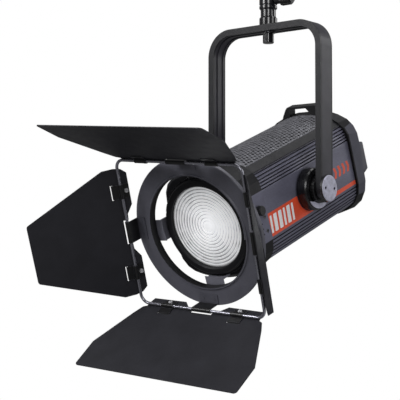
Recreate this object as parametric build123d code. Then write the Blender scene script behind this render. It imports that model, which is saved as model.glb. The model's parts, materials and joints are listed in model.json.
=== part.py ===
"""Hanging LED fresnel spotlight: spigot, yoke, finned head, barn doors and focusing LED carriage.

Millimetres and degrees. The row frame has its origin on the spigot axis, at the foot of the smooth
hanging pin, with +Z up that axis. The lens faces -Y. Head parts are drawn level in the head frame,
whose origin is the middle of the tilt axis and whose -Y is the optical axis, then pitched to rest.
"""

import os
from math import cos, pi, radians, sin, sqrt, tan

from build123d import *

# Pose at rest
HEAD_PITCH = 21.1
DOOR_TURN = 4.8
FLARE = {"top": 36.0, "bottom": 18.0, "left": 36.0, "right": 40.3}

# Fits between parts
RUNNING = 0.06
GAP = 0.3

# Hanging spigot
PIN_R = 14.3
PIN_LENGTH = 38.0
SOCKET_R = 8.1
SOCKET_DEPTH = 52.0
STRAP_TOP = -48.0
COLLAR_HEIGHT = 13.0
WAIST_R = 12.2
WAIST_HEIGHT = 13.0
JOURNAL_R = 9.0
STUD_R = 6.0
LOCK_SCREW_Z = -8.0
LOCK_SCREW_R = 4.0

# Yoke
YOKE_HALF_WIDTH = 110.0
YOKE_THICKNESS = 10.2
YOKE_STRAP = 32.0
YOKE_CORNER_R = 43.0
TILT_DROP = 263.7
TILT_Z = STRAP_TOP - TILT_DROP
PIVOT_R = 6.0

# Head outline, a rounded box seen along the optical axis
SIDE_X = 75.6
PANEL_TOP_Z = 36.0
PANEL_BOTTOM_Z = -37.0
HEAD_TOP_Z = 86.0
HEAD_BOTTOM_Z = -84.0
BODY_FRONT_Y = -117.0
BODY_REAR_Y = 134.5
NOSE_Y = -160.0
WALL = 2.5

# Rear casting and control box
REAR_END_Y = 160.0
BOX_END_Y = 181.0
BOX_HALF_WIDTH = 76.0
BOX_TOP_Z = 23.0
BOX_BOTTOM_Z = -32.0

# Lens
LENS_VISIBLE_R = 64.0
LENS_R = 67.0
BEZEL_R = 74.5
BEZEL_FRONT_Y = -172.0

# Barn doors
RING_R = 116.0
RING_INNER_R = 87.6
RING_Y = -191.0
ROD_R = 2.35
ROD_HALF = 115.2
ROD_Y = -212.4
ROD_CORNER_R = 14.0
LEAF_LENGTH = 145.8
LEAF_SHEET = 1.2
LEAF_OFFSET = 2.6
CLIP_U = 65.0
CLIP_WIDTH = 22.0
CLIP_SCREW_D = -8.0
EAR_WIDTH = 33.0
FLANGE_R = 95.0
RIVET_X = 105.0
RIVET_Z = (-10.0, 10.0)
QUARTERS = (0, 90, 180, 270)

# Focusing carriage
RAIL_X = 50.0
RAIL_Z = -50.0
RAIL_R = 4.0
SCREW_Z = -57.0
SCREW_R = 4.0
CARRIAGE_Y = -95.0
CARRIAGE_THICKNESS = 5.0
SINK_DEPTH = 44.0
FAN_SIZE = 80.0
FAN_DEPTH = 22.0

# Side of the nose, as Y and Z in the head frame
THUMB_YZ = (-138.0, 13.0)
SIDE_SCREW_YZ = ((-125.5, -0.5), (-125.5, -22.5))
SIDE_SLOT_Z = (-9.0, -17.0, -25.0)

# Rear controls, as X and Z in the head frame
DIMMER_XZ = (6.0, -3.0)
ROCKER_XZ = (46.0, -3.0)
BUTTON_X = (-50.0, -34.0)
BUTTON_Z = -17.0
DISPLAY_XZ = (-42.0, 6.0)
ROCKER_THROW = 14.0
SOCKET_XZ = ((-46.0, 45.0), (-14.0, 45.0))
INLET_XZ = (34.0, 45.0)

parts = {}


# ---------------------------------------------------------------- frames and basic solids


def head(shape):
    """Moves a shape from the head frame to its pitched place on the yoke."""
    return Pos(0, 0, TILT_Z) * Rot(HEAD_PITCH, 0, 0) * shape


def door(shape):
    """Moves a shape from the head frame to its place on the turned barn-door set."""
    return head(Rot(0, DOOR_TURN, 0) * shape)


def cyl_x(radius, x0, x1, y=0.0, z=0.0):
    return Pos((x0 + x1) / 2, y, z) * Rot(0, 90, 0) * Cylinder(radius, abs(x1 - x0))


def cyl_y(radius, y0, y1, x=0.0, z=0.0):
    return Pos(x, (y0 + y1) / 2, z) * Rot(90, 0, 0) * Cylinder(radius, abs(y1 - y0))


def cyl_z(radius, z0, z1, x=0.0, y=0.0):
    return Pos(x, y, (z0 + z1) / 2) * Cylinder(radius, abs(z1 - z0))


def block(x0, x1, y0, y1, z0, z1):
    centre = Pos((x0 + x1) / 2, (y0 + y1) / 2, (z0 + z1) / 2)
    return centre * Box(abs(x1 - x0), abs(y1 - y0), abs(z1 - z0))


def prism_y(sketch, y0, y1):
    """Extrudes a sketch drawn in X and Z from depth y0 back to depth y1."""
    return Pos(0, y1, 0) * extrude(Plane.XZ * sketch, y1 - y0)


def prism_x(points, x0, x1):
    """Extrudes a polygon of (y, z) points from x0 to x1."""
    face = Plane.YZ * polygon(points)
    return Pos(x0, 0, 0) * extrude(face, x1 - x0)


def polygon(points):
    return make_face(Polyline(*points, close=True))


def ring_y(points):
    """Turns a closed profile of (radius, y) points about the optical axis."""
    return revolve(polygon(points), Axis.Y)


def hub_x(points):
    """Turns a closed profile of (x, radius) points about the tilt axis."""
    return revolve(polygon(points), Axis.X)


def turned_z(points):
    """Turns a closed profile of (radius, z) points about the spigot axis."""
    return revolve(Plane.XZ * polygon(points), Axis.Z)


def around_y(shape, degrees):
    return Rot(0, degrees, 0) * shape


def knurled(radius, length, teeth, depth):
    """A knob body along +Z from the origin, with rounded grooves cut along its rim."""
    body = Pos(0, 0, length / 2) * Cylinder(radius, length)
    body = chamfer(body.edges().filter_by(GeomType.CIRCLE), min(1.2, length / 6))
    cutter = Pos(radius + depth * 0.4, 0, length / 2) * Cylinder(depth, length + 2)
    return body - [Rot(0, 0, 360 * i / teeth) * cutter for i in range(teeth)]


def mirror_x(shape):
    return mirror(shape, about=Plane.YZ)


# ---------------------------------------------------------------- hanging spigot


def hanging_spigot():
    """Turned pin with a socket from above, a waist, a collar, a journal and a threaded stud."""
    collar_top = STRAP_TOP + COLLAR_HEIGHT
    waist_top = collar_top + WAIST_HEIGHT
    groove = 1.2
    seat = STRAP_TOP + GAP / 2
    journal_end = STRAP_TOP - YOKE_THICKNESS
    outline = [
        (0, journal_end - 13), (STUD_R, journal_end - 13), (STUD_R, journal_end),
        (JOURNAL_R, journal_end), (JOURNAL_R, seat), (PIN_R - 1, seat), (PIN_R, seat + 1),
        (PIN_R, collar_top - 1.5), (WAIST_R, collar_top + 1), (WAIST_R, waist_top - 1),
        (PIN_R, waist_top + 1.5), (PIN_R, -17), (PIN_R - groove, -16), (PIN_R - groove, -15),
        (PIN_R, -14), (PIN_R, -3), (PIN_R - groove, -2), (PIN_R - groove, -1), (PIN_R, 0),
        (PIN_R, PIN_LENGTH - 2), (PIN_R - 2, PIN_LENGTH), (0, PIN_LENGTH),
    ]
    body = turned_z(outline)
    body -= cyl_z(SOCKET_R, PIN_LENGTH - SOCKET_DEPTH, PIN_LENGTH + 1)
    body -= cyl_x(LOCK_SCREW_R, 0, PIN_R + 1, z=LOCK_SCREW_Z)
    return body


def spigot_nut():
    """Blind nut that closes the stud under the yoke: a hexagon with its corners turned nearly round."""
    top = STRAP_TOP - YOKE_THICKNESS - 1.9
    height = 16.0
    turned = chamfer(cyl_z(9.2, top - height, top).edges().filter_by(GeomType.CIRCLE), 1.2)
    nut = turned & Pos(0, 0, top - height) * extrude(RegularPolygon(9.9, 6), height)
    return nut - cyl_z(STUD_R, top - height + 2, top + 1)


def spigot_washer():
    top = STRAP_TOP - YOKE_THICKNESS - 0.2
    return cyl_z(11.5, top - 1.6, top) - cyl_z(STUD_R, top - 3, top + 1)


def spigot_lock_knob():
    """Clamping screw with a round grip, reaching in through the side of the spigot."""
    screw = cyl_x(LOCK_SCREW_R - RUNNING, 10.6, 24)
    collar = cyl_x(7.0, PIN_R + 1.2, 26)
    grip = Pos(26, 0, 0) * Rot(0, 90, 0) * knurled(11.0, 18, 10, 1.8)
    button = cyl_x(8.0, 44, 46.5)
    return Pos(0, 0, LOCK_SCREW_Z) * (screw + collar + grip + button)


def spigot_clamp_shoe():
    return cyl_x(LOCK_SCREW_R - RUNNING, 8.3, 10.5, z=LOCK_SCREW_Z)


# ---------------------------------------------------------------- yoke


def yoke_layer(depth_out, depth_in, y0, y1):
    """A U-shaped layer of the strap between two depths below its outer face."""

    def outline(depth):
        half = YOKE_HALF_WIDTH - depth
        top = STRAP_TOP - depth
        height = top - TILT_Z
        shape = Pos(0, TILT_Z + height / 2) * Rectangle(2 * half, height)
        corners = shape.vertices().sort_by(Axis.Y)[-2:]
        return fillet(corners, YOKE_CORNER_R - depth)

    inner = outline(depth_in) + Pos(0, TILT_Z - 5) * Rectangle(2 * (YOKE_HALF_WIDTH - depth_in), 12)
    return prism_y(outline(depth_out) - inner, y0, y1)


def yoke():
    """Flat strap bent to a U, with two grooves rolled into its inner face and rounded feet."""
    half = YOKE_STRAP / 2
    strap = yoke_layer(0, YOKE_THICKNESS, -half, half)
    for y in (-7.0, 7.0):
        strap -= yoke_layer(YOKE_THICKNESS - 1.4, YOKE_THICKNESS, y - 3, y + 3)
    inner_x = YOKE_HALF_WIDTH - YOKE_THICKNESS
    for side in (-1, 1):
        foot = cyl_x(half, side * inner_x, side * YOKE_HALF_WIDTH, z=TILT_Z)
        bore = cyl_x(PIVOT_R + RUNNING, side * 90, side * 120, z=TILT_Z)
        strap = strap + foot - bore
    strap -= cyl_z(JOURNAL_R + RUNNING, STRAP_TOP - YOKE_THICKNESS - 1, STRAP_TOP + 1)
    return strap


def pivot_cap():
    """Round cover over the right pivot, with two blind holes for a pin spanner."""
    x0 = YOKE_HALF_WIDTH
    cap = hub_x([(x0, 0), (x0, 19.3), (x0 + 0.8, 20.3), (x0 + 4.6, 20.3), (x0 + 5.8, 19.0), (x0 + 5.8, 0)])
    for y in (-12.0, 12.0):
        cap -= cyl_x(2.6, x0 + 2.4, x0 + 8, y=y)
    return Pos(0, 0, TILT_Z) * cap


def tilt_lock_knob():
    """Clamping hand knob outside the left yoke arm, on a stud that screws into the left pivot."""
    outer = -(YOKE_HALF_WIDTH + GAP)
    grip = Pos(outer - 7, 0, 0) * Rot(0, -90, 0) * knurled(21.0, 22, 7, 6.0)
    collar = cyl_x(13.0, outer - 7, outer)
    stud = cyl_x(4.0 - RUNNING, outer - 5, -84)
    return Pos(0, 0, TILT_Z) * (grip + collar + stud)


# ---------------------------------------------------------------- head shell

OUTLINE_RIGHT = [
    (54.0, 74.0), (66.0, 64.5), (73.0, 52.0), (SIDE_X, PANEL_TOP_Z),
    (SIDE_X, PANEL_BOTTOM_Z), (72.0, -55.0), (64.0, -67.0), (54.0, -74.0),
]


def outline_x(z):
    """Half width of the head outline at height z, on its straight runs."""
    for (x0, z0), (x1, z1) in zip(OUTLINE_RIGHT, OUTLINE_RIGHT[1:]):
        if z1 <= z <= z0:
            return x0 + (x1 - x0) * (z0 - z) / (z0 - z1)
    raise ValueError(z)


def head_outline(grow=0.0):
    """The whole outline across the head, grown outwards by an even margin."""
    right = OUTLINE_RIGHT
    left = [(-x, z) for x, z in reversed(right)]
    top = ThreePointArc(left[-1], (0, HEAD_TOP_Z), right[0])
    bottom = ThreePointArc(right[-1], (0, HEAD_BOTTOM_Z), left[0])
    face = make_face(Curve() + [top, Polyline(*right), bottom, Polyline(*left)])
    return offset(face, amount=grow, kind=Kind.INTERSECTION) if grow else face


def side_extrusion():
    """Right side panel: flat in the middle, with long cooling grooves above and below."""
    inner = [(50.5, 69.5), (61.0, 61.0), (67.0, 50.0), (70.6, 35.0),
             (70.6, -36.0), (66.5, -53.0), (60.0, -63.0), (50.5, -69.5)]
    profile = polygon(OUTLINE_RIGHT + inner[::-1])
    grooves = [38.5 + 4.6 * i for i in range(6)] + [-41.0 - 5.6 * i for i in range(5)]
    for z in grooves:
        x = outline_x(z)
        profile -= Pos(x + 2.0, z) * Rectangle(10.4, 2.4)
    panel = prism_y(profile, BODY_FRONT_Y, BODY_REAR_Y)
    return panel - cyl_x(PIVOT_R, 60, 90)


def arc_cover(apex, side_z, thickness):
    """Curved sheet that closes the head between the side panels, above or below."""
    drop = -thickness if apex > 0 else thickness
    edge = 54.0 - GAP
    inner_edge = edge - 0.8 * thickness
    outer = ThreePointArc((-edge, side_z), (0, apex), (edge, side_z))
    inner = ThreePointArc((inner_edge, side_z + drop), (0, apex + drop), (-inner_edge, side_z + drop))
    right = Line(outer @ 1, inner @ 0)
    left = Line(inner @ 1, outer @ 0)
    face = make_face(Curve() + [outer, right, inner, left])
    return prism_y(face, BODY_FRONT_Y + 0.2, BODY_REAR_Y - 0.2)


def front_casting():
    """Nose of the head: a shell on the head outline with a round opening behind the lens."""
    shell = prism_y(head_outline(1.5), NOSE_Y, BODY_FRONT_Y)
    front_edges = shell.edges().group_by(Axis.Y)[0]
    shell = chamfer(front_edges, 5.0)
    hollow = prism_y(head_outline(-WALL), NOSE_Y + 4, BODY_FRONT_Y + 1)
    shell = shell - hollow - cyl_y(62.0, NOSE_Y - 1, NOSE_Y + 6)
    nose = ring_y([(BEZEL_R + 0.2, NOSE_Y - 6), (78.0, NOSE_Y - 6), (78.0, NOSE_Y + 1), (BEZEL_R + 0.2, NOSE_Y + 1)])
    notch = block(76.0, 80.0, NOSE_Y - 7, NOSE_Y - 2, -1.8, 1.8)
    nose -= [around_y(notch, 6.0 + 12.0 * i) for i in range(30)]
    lugs = [cyl_y(8.0, NOSE_Y + 3, NOSE_Y + 14, x=x, z=RAIL_Z) for x in (-RAIL_X, RAIL_X)]
    seats = [cyl_y(RAIL_R, NOSE_Y + 5, NOSE_Y + 20, x=x, z=RAIL_Z) for x in (-RAIL_X, RAIL_X)]
    shell = shell + nose + lugs - seats
    for side in (-1, 1):
        for y, z in SIDE_SCREW_YZ:
            shell -= cyl_x(3.1, side * (SIDE_X - 1), side * 90, y=y, z=z)
        for z in SIDE_SLOT_Z:
            shell -= block(side * 76.0, side * 80, -142, -134, z - 1.4, z + 1.4)
        shell -= cyl_x(3.0, side * 70, side * 90, y=THUMB_YZ[0], z=THUMB_YZ[1])
    return shell


def front_screws():
    """Four screws in the sides of the front casting."""
    x0 = SIDE_X - 1
    out = []
    for side in (-1, 1):
        for y, z in SIDE_SCREW_YZ:
            head_solid = cyl_x(3.0, side * x0, side * (x0 + 2.2), y=y, z=z)
            slot = block(side * (x0 + 1.4), side * (x0 + 4), y - 3, y + 3, z - 0.5, z + 0.5)
            out.append(head_solid - slot)
    return out


def thumb_screw():
    """Knurled screw on the right of the nose that locks the accessory holder."""
    y, z = THUMB_YZ
    shank = cyl_x(3.0 - RUNNING, 71, 79, y=y, z=z)
    grip = Pos(77.8, y, z) * Rot(0, 90, 0) * knurled(7.5, 9, 14, 1.0)
    return shank + grip


REAR_RIM_FRONT = [
    (22.0, 85.5), (40.0, 82.5), (54.0, 76.8), (66.0, 68.5), (75.0, 58.5), (79.5, 48.0),
    (80.0, 28.0), (79.5, -38.0), (75.5, -54.0), (66.5, -68.5), (53.0, -78.5), (30.0, -87.0),
]
REAR_RIM_BACK = [
    (22.0, 86.0), (40.0, 83.0), (54.0, 77.5), (69.0, 68.5), (78.5, 57.0), (83.0, 44.0),
    (83.5, 29.0), (80.5, -38.0), (75.5, -56.0), (65.0, -72.5), (49.0, -84.0), (27.0, -91.0),
]


def rear_block():
    """Outer solid of the rear casting, spreading a little to the rear, with a narrow bevel behind."""
    bevel = 2.5
    sections = ((BODY_REAR_Y, REAR_RIM_FRONT, 1.0), (REAR_END_Y - bevel, REAR_RIM_BACK, 1.0),
                (REAR_END_Y, REAR_RIM_BACK, 1 - bevel / SIDE_X))
    wires = []
    for y, right, scale in sections:
        outline = right + [(-x, z) for x, z in reversed(right)]
        wires.append(Wire.make_polygon([(scale * x, y, scale * z) for x, z in outline], close=True))
    return Solid.make_loft(wires, ruled=True)


def rear_casting():
    """Rear end cap: a hollow shell with vents and openings for the controls and sockets."""
    shell = rear_block() - prism_y(head_outline(-4.5), BODY_REAR_Y - 1, REAR_END_Y - 4)
    back = REAR_END_Y - 6
    shell -= block(-BOX_HALF_WIDTH + 6, BOX_HALF_WIDTH - 6, back, REAR_END_Y + 1, BOX_BOTTOM_Z + 6, BOX_TOP_Z - 6)
    for x, z in SOCKET_XZ:
        shell -= cyl_y(12.0, back, REAR_END_Y + 1, x=x, z=z)
    x, z = INLET_XZ
    shell -= block(x - 14, x + 14, back, REAR_END_Y + 1, z - 11, z + 11)
    for i in range(5):
        for side in (-1, 1):
            x = side * (28 + 8 * i)
            shell -= block(x - 2, x + 2, back, REAR_END_Y + 1, -62 + 2 * i, -38)
    return shell - cyl_y(SCREW_R + RUNNING, back, REAR_END_Y + 1, z=SCREW_Z)


def rear_screws():
    """Six socket screws through the rear casting."""
    spots = [(side * x, z) for side in (-1, 1) for x, z in ((72.5, 36.0), (69.5, -38.0), (63.5, 56.0))]
    out = []
    for x, z in spots:
        cap = cyl_y(3.4, REAR_END_Y, REAR_END_Y + 3.0, x=x, z=z)
        out.append(cap - cyl_y(1.6, REAR_END_Y + 1.4, REAR_END_Y + 4, x=x, z=z))
    return out


def carry_handle():
    """Broad bridge over the rear casting, with a hand opening under it and a gusset at its right end."""
    outer = polygon([(-42, 79), (-38.8, 86), (-31.6, 97), (-28, 101), (28, 101), (31.6, 97), (38.8, 86), (42, 79)])
    opening = polygon([(-27.5, 79), (-23, 97.3), (9, 97.3), (22, 79)])
    loop = prism_y(outer - opening, BODY_REAR_Y + GAP, 153.0)
    top_edges = [e for e in loop.edges().filter_by(Axis.Y) if e.center().Z > 99]
    return fillet(top_edges, 1.5) - rear_block()


def control_box():
    """Hollow console on the rear casting that carries the display and the controls."""
    box = block(-BOX_HALF_WIDTH, BOX_HALF_WIDTH, REAR_END_Y, BOX_END_Y, BOX_BOTTOM_Z, BOX_TOP_Z)
    box = fillet([e for e in box.edges().filter_by(Axis.Y) if e.center().Z > 0], 3.0)
    box = chamfer([e for e in box.edges().filter_by(Axis.Y) if e.center().Z < -30], 9.0)
    box = chamfer(box.edges().group_by(Axis.Y)[-1], 2.5)
    inner = block(-BOX_HALF_WIDTH + 3, BOX_HALF_WIDTH - 3, REAR_END_Y - 1, BOX_END_Y - 3,
                  BOX_BOTTOM_Z + 3, BOX_TOP_Z - 3)
    box -= chamfer([e for e in inner.edges().filter_by(Axis.Y) if e.center().Z < 0], 8.0)
    box -= cyl_y(3.0 + RUNNING, BOX_END_Y - 5, BOX_END_Y + 1, x=DIMMER_XZ[0], z=DIMMER_XZ[1])
    for x in BUTTON_X:
        box -= cyl_y(4.2, BOX_END_Y - 5, BOX_END_Y + 1, x=x, z=BUTTON_Z)
    x, z = ROCKER_XZ
    box -= block(x - 10.5, x + 10.5, BOX_END_Y - 5, BOX_END_Y + 1, z - 6.8, z + 6.8)
    x, z = DISPLAY_XZ
    box -= block(x - 20, x + 20, BOX_END_Y - 5, BOX_END_Y + 1, z - 10, z + 10)
    return box


def display_window():
    x, z = DISPLAY_XZ
    return block(x - 20, x + 20, BOX_END_Y - 3, BOX_END_Y - 0.6, z - 10, z + 10)


def control_board():
    """Circuit board behind the console face, with its display module and encoder."""
    y = BOX_END_Y - 15
    board = block(-62, 30, y, y + 1.6, -22, 18)
    x, z = DISPLAY_XZ
    display = block(x - 19, x + 19, y + 1.6, y + 8, z - 9, z + 9)
    return board + display


def power_inlet():
    """Mains inlet: a flanged shroud around three flat pins."""
    x, z = INLET_XZ
    flange = block(x - 17, x + 17, REAR_END_Y, REAR_END_Y + 2.5, z - 14, z + 14)
    flange = fillet(flange.edges().filter_by(Axis.Y), 3.0)
    shroud = block(x - 13.8, x + 13.8, REAR_END_Y - 20, REAR_END_Y, z - 10.8, z + 10.8)
    recess = block(x - 12, x + 12, REAR_END_Y - 16, REAR_END_Y + 4, z - 8, z + 8)
    body = flange + shroud - recess
    for dx, dz in ((-7.0, -1.5), (0.0, 2.5), (7.0, -1.5)):
        body += block(x + dx - 1.0, x + dx + 1.0, REAR_END_Y - 18, REAR_END_Y - 2, z + dz - 2, z + dz + 2)
    return body


def data_sockets():
    """Two round five-pin control sockets with square flanges."""
    out = []
    for x, z in SOCKET_XZ:
        flange = block(x - 13.5, x + 13.5, REAR_END_Y, REAR_END_Y + 2, z - 15, z + 15)
        flange = fillet(flange.edges().filter_by(Axis.Y), 2.5)
        shell = cyl_y(11.8, REAR_END_Y - 18, REAR_END_Y + 3, x=x, z=z)
        well = cyl_y(10.0, REAR_END_Y - 13, REAR_END_Y + 4, x=x, z=z)
        body = flange + shell - well
        for i in range(5):
            a = radians(-20 + 55 * i)
            body += cyl_y(1.2, REAR_END_Y - 14, REAR_END_Y - 3, x=x + 6 * cos(a), z=z + 6 * sin(a))
        out.append(body)
    return out


# ---------------------------------------------------------------- pivots


def hub_dish():
    """Dished boss between the side panel and the pivot washer, right side."""
    profile = [
        (SIDE_X, PIVOT_R), (SIDE_X, 31.0), (SIDE_X + 2, 33.0), (SIDE_X + 15, 33.0), (SIDE_X + 17.4, 31.5),
        (SIDE_X + 17.4, 24.0), (SIDE_X + 12, 22.0), (SIDE_X + 12, PIVOT_R),
    ]
    return hub_x(profile)


def hub_washer():
    """Light friction segment that shows as a crescent below the drum."""
    x0 = SIDE_X + 17.4
    ring = hub_x([(x0, 22.2), (x0, 30.3), (x0 + 1.6, 30.3), (x0 + 1.6, 22.2)])
    return Rot(-HEAD_PITCH, 0, 0) * (ring & block(x0, x0 + 2, -31, 31, -31, -20.5))


def hub_drum():
    """Ribbed friction drum that bears on the inner face of the yoke arm."""
    x0, x1 = SIDE_X + 12, YOKE_HALF_WIDTH - YOKE_THICKNESS - GAP
    drum = hub_x([(x0, PIVOT_R), (x0, 21.9), (x1 - 1, 21.9), (x1, 20.9), (x1, PIVOT_R)])
    groove = cyl_x(1.1, x0 + 6, x1 + 1, z=22.2)
    return drum - [Rot(15 * i, 0, 0) * groove for i in range(24)]


def pivot_shafts():
    """Two shouldered pins on which the head tilts. The left one is tapped for the lock knob."""
    right = cyl_x(PIVOT_R, 66.5, YOKE_HALF_WIDTH - 0.4) + cyl_x(10.0, 66.4, 70.5)
    left = mirror_x(right) - cyl_x(4.0, -120, -82)
    return [right, left]


# ---------------------------------------------------------------- lens and accessory holder


def fresnel_lens():
    """Flat-backed stepped lens: a convex centre and rings that repeat its slope."""
    back, base = -161.2, -164.2
    rings = 11
    pitch = LENS_VISIBLE_R / rings
    points = [(0, back), (LENS_R - 0.2, back), (LENS_R - 0.2, base), (LENS_VISIBLE_R, base)]
    for i in range(rings - 1, 0, -1):
        rise = 0.9 + 1.6 * i / rings
        points += [((i + 0.92) * pitch, base), (i * pitch, base - rise)]
        points += [(i * pitch - 0.05, base)] if i > 1 else []
    points += [(0, base - 2.2)]
    return ring_y(points)


def lens_gasket():
    return ring_y([(LENS_VISIBLE_R + 0.4, -169.0), (LENS_R, -169.0), (LENS_R, -164.4), (LENS_VISIBLE_R + 0.4, -164.4)])


def lens_bezel():
    """Black ring that holds the lens against the nose."""
    outer, lip = BEZEL_R, LENS_VISIBLE_R
    profile = [
        (lip, -169.2), (lip, -170.8), (lip + 1.6, BEZEL_FRONT_Y), (outer - 2, BEZEL_FRONT_Y), (outer, -170.0),
        (outer, NOSE_Y), (LENS_R + 0.1, NOSE_Y), (LENS_R + 0.1, -169.2),
    ]
    return ring_y(profile)


def ear():
    """Channelled ear, here at the right, that holds the rim of the barn-door ring."""
    rear, front = -179.6, -184.4
    profile = [
        (78.4, NOSE_Y), (78.4, -177.2), (98.4, -177.2), (98.4, front), (92.0, front), (92.0, front + 1.9),
        (95.6, front + 1.9), (95.6, rear), (75.6, rear), (75.6, -166.2), (78.2, -166.2), (78.2, NOSE_Y),
    ]
    turned = ring_y([(78.4, NOSE_Y), (81.0, NOSE_Y), (81.0, -177.2)] + profile[2:9] + [(76.0, -177.6), (78.4, -176.0)])
    keep = block(60, 110, -190, NOSE_Y + 1, -EAR_WIDTH / 2, EAR_WIDTH / 2)
    return turned & keep


def latch_lugs():
    """Two lugs on top of the nose with the pin of the ring latch between them."""
    out = []
    for x in (-10.5, 7.5):
        out.append(block(x, x + 3, -172, -160.1, 78.6, 92))
    pin = cyl_x(1.5, -10.5, 10.5, y=-168, z=88.5)
    return out[0] + out[1] + pin


def ring_latch():
    """Sprung finger that closes over the rim of the barn-door ring at the top."""
    side = [(-171, 85.5), (-165, 85.5), (-164, 92), (-166, 99.5), (-185.6, 99.5), (-185.6, 92.5),
            (-183.4, 92.5), (-183.4, 96), (-172, 96), (-171, 92)]
    finger = prism_x(side, -7.0, 7.0)
    return finger - cyl_x(1.5 + RUNNING, -9, 9, y=-168, z=88.5)


# ---------------------------------------------------------------- barn doors


def barndoor_ring():
    """Pressed ring: flat face, raised inner lip, and an inner wall with a turned-out rim."""
    y = RING_Y
    profile = [
        (RING_INNER_R, y - 2.0), (RING_INNER_R + 2, y - 2.0), (RING_INNER_R + 3.4, y), (RING_R - 1, y),
        (RING_R, y + 1), (RING_R, y + 6), (RING_R - 1.6, y + 6), (RING_R - 1.6, y + 2), (RING_INNER_R + 2, y + 2),
        (RING_INNER_R + 2, -181.9), (FLANGE_R, -181.9), (FLANGE_R, -180.0), (RING_INNER_R, -180.0),
    ]
    ring = ring_y(profile)
    for turn in QUARTERS:
        ring -= [around_y(hole, turn) for hole in rivet_holes()]
    return ring


def rivet_holes():
    """Two rivet holes through the right bracket and the ring face behind it."""
    return [cyl_y(1.6, RING_Y - 3, RING_Y + 3, x=RIVET_X, z=z) for z in RIVET_Z]


def door_rods():
    """Round rod bent to a square that carries the four leaves."""
    straight = ROD_HALF - ROD_CORNER_R
    rod = None
    for turn in QUARTERS:
        side = cyl_z(ROD_R, -straight, straight, x=ROD_HALF, y=ROD_Y)
        section = Pos(ROD_HALF, ROD_Y, straight) * Circle(ROD_R)
        axis = Axis((straight, ROD_Y, straight), (0, 1, 0))
        corner = revolve(section, axis, -90)
        piece = around_y(side + corner, turn)
        rod = piece if rod is None else rod + piece
    return rod


def door_bracket():
    """Strip, here at the right, riveted to the ring face and rolled round the rod."""
    inner, outer = ROD_R + 0.05, ROD_R + 1.25
    half = 17.0
    centre = Pos(ROD_HALF, ROD_Y)
    roll = centre * (Circle(outer) - Circle(inner))
    roll &= Pos(ROD_HALF, ROD_Y - 5) * Rectangle(12, 10)
    x_in = ROD_HALF - outer
    leg_length = RING_Y - ROD_Y
    leg = Pos(x_in + 0.6, ROD_Y + leg_length / 2) * Rectangle(1.2, leg_length)
    foot = Pos((98 + x_in + 1.2) / 2, RING_Y - 0.6) * Rectangle(x_in + 1.2 - 98, 1.2)
    lip = Pos(ROD_HALF + inner + 0.6, ROD_Y + 1.0) * Rectangle(1.2, 2.0)
    strip = Pos(0, 0, -half) * extrude(roll + leg + foot + lip, 2 * half)
    return strip - rivet_holes()


def door_rivets():
    """Eight rivets that hold the four brackets on the ring."""
    out = []
    for turn in QUARTERS:
        for z in RIVET_Z:
            shank = cyl_y(1.6, RING_Y - 1.2, RING_Y + 2, x=RIVET_X, z=z)
            head_solid = cyl_y(2.6, RING_Y - 1.7, RING_Y - 1.2, x=RIVET_X, z=z)
            tail = cyl_y(2.6, RING_Y + 2, RING_Y + 3.2, x=RIVET_X, z=z)
            out.append(around_y(shank + head_solid + tail, turn))
    return out


def leaf_outline(kind):
    """Half outline of a leaf as (along the hinge, out from the hinge): notch, tab, sides and free edge."""
    hinge_end = [(19, 4.8), (19, -3.5), (28, -4)]
    if kind == "wide":
        return hinge_end + [(40, -15.5), (101, -15), (104, -5), (104.5, 3), (111, 6), (119, 21), (149.5, 92), (148, LEAF_LENGTH - 3)]
    return hinge_end + [(42, -13), (92, -13), (99, -5), (101.5, 6), (101.5, 24), (45.5, LEAF_LENGTH + 4)]


def leaf(kind):
    """Flat leaf about its hinge line, drawn with X along the hinge and Y out to the free edge."""
    half = leaf_outline(kind)
    other = [(-u, d) for u, d in reversed(half)]
    sheet = polygon(half + other)
    free_corners = sheet.vertices().sort_by(Axis.Y)[-2:]
    sheet = fillet(free_corners, 5.0)
    for u in (-CLIP_U, CLIP_U):
        sheet -= Pos(u, 13.8) * Rectangle(CLIP_WIDTH + 1.6, 3.4)
        sheet -= Pos(u, CLIP_SCREW_D) * Circle(1.6)
    return Pos(0, 0, LEAF_OFFSET) * extrude(sheet, LEAF_SHEET)


def leaf_clips():
    """Two spring clips that wrap the rod, screwed behind it and hooked through the leaf before it."""
    inner, outer = ROD_R + 0.05, ROD_R + 1.25
    flat = Rectangle(24.7, 1.2, align=(Align.MIN, Align.MAX))
    profile = (Circle(outer) & Pos(0, -5) * Rectangle(12, 10)) - Circle(inner)
    profile += Pos(-12.0, LEAF_OFFSET) * flat
    profile -= Pos(0, LEAF_OFFSET / 2 + 0.3) * Rectangle(2 * inner, LEAF_OFFSET + 1)
    for x in (-1, 1):
        profile += Pos(x * (inner + outer) / 2, (LEAF_OFFSET - 1.2) / 2) * Rectangle(1.2, LEAF_OFFSET - 1.2)
    profile += Pos(12.7, LEAF_OFFSET - 1.2) * Rectangle(1.2, 4.4, align=(Align.MIN, Align.MIN))
    clip = extrude(Plane.YZ * profile, CLIP_WIDTH)
    hole = cyl_z(1.6, -5, 6, x=CLIP_WIDTH / 2, y=CLIP_SCREW_D)
    return [Pos(u - CLIP_WIDTH / 2, 0, 0) * (clip - hole) for u in (-CLIP_U, CLIP_U)]


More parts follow.
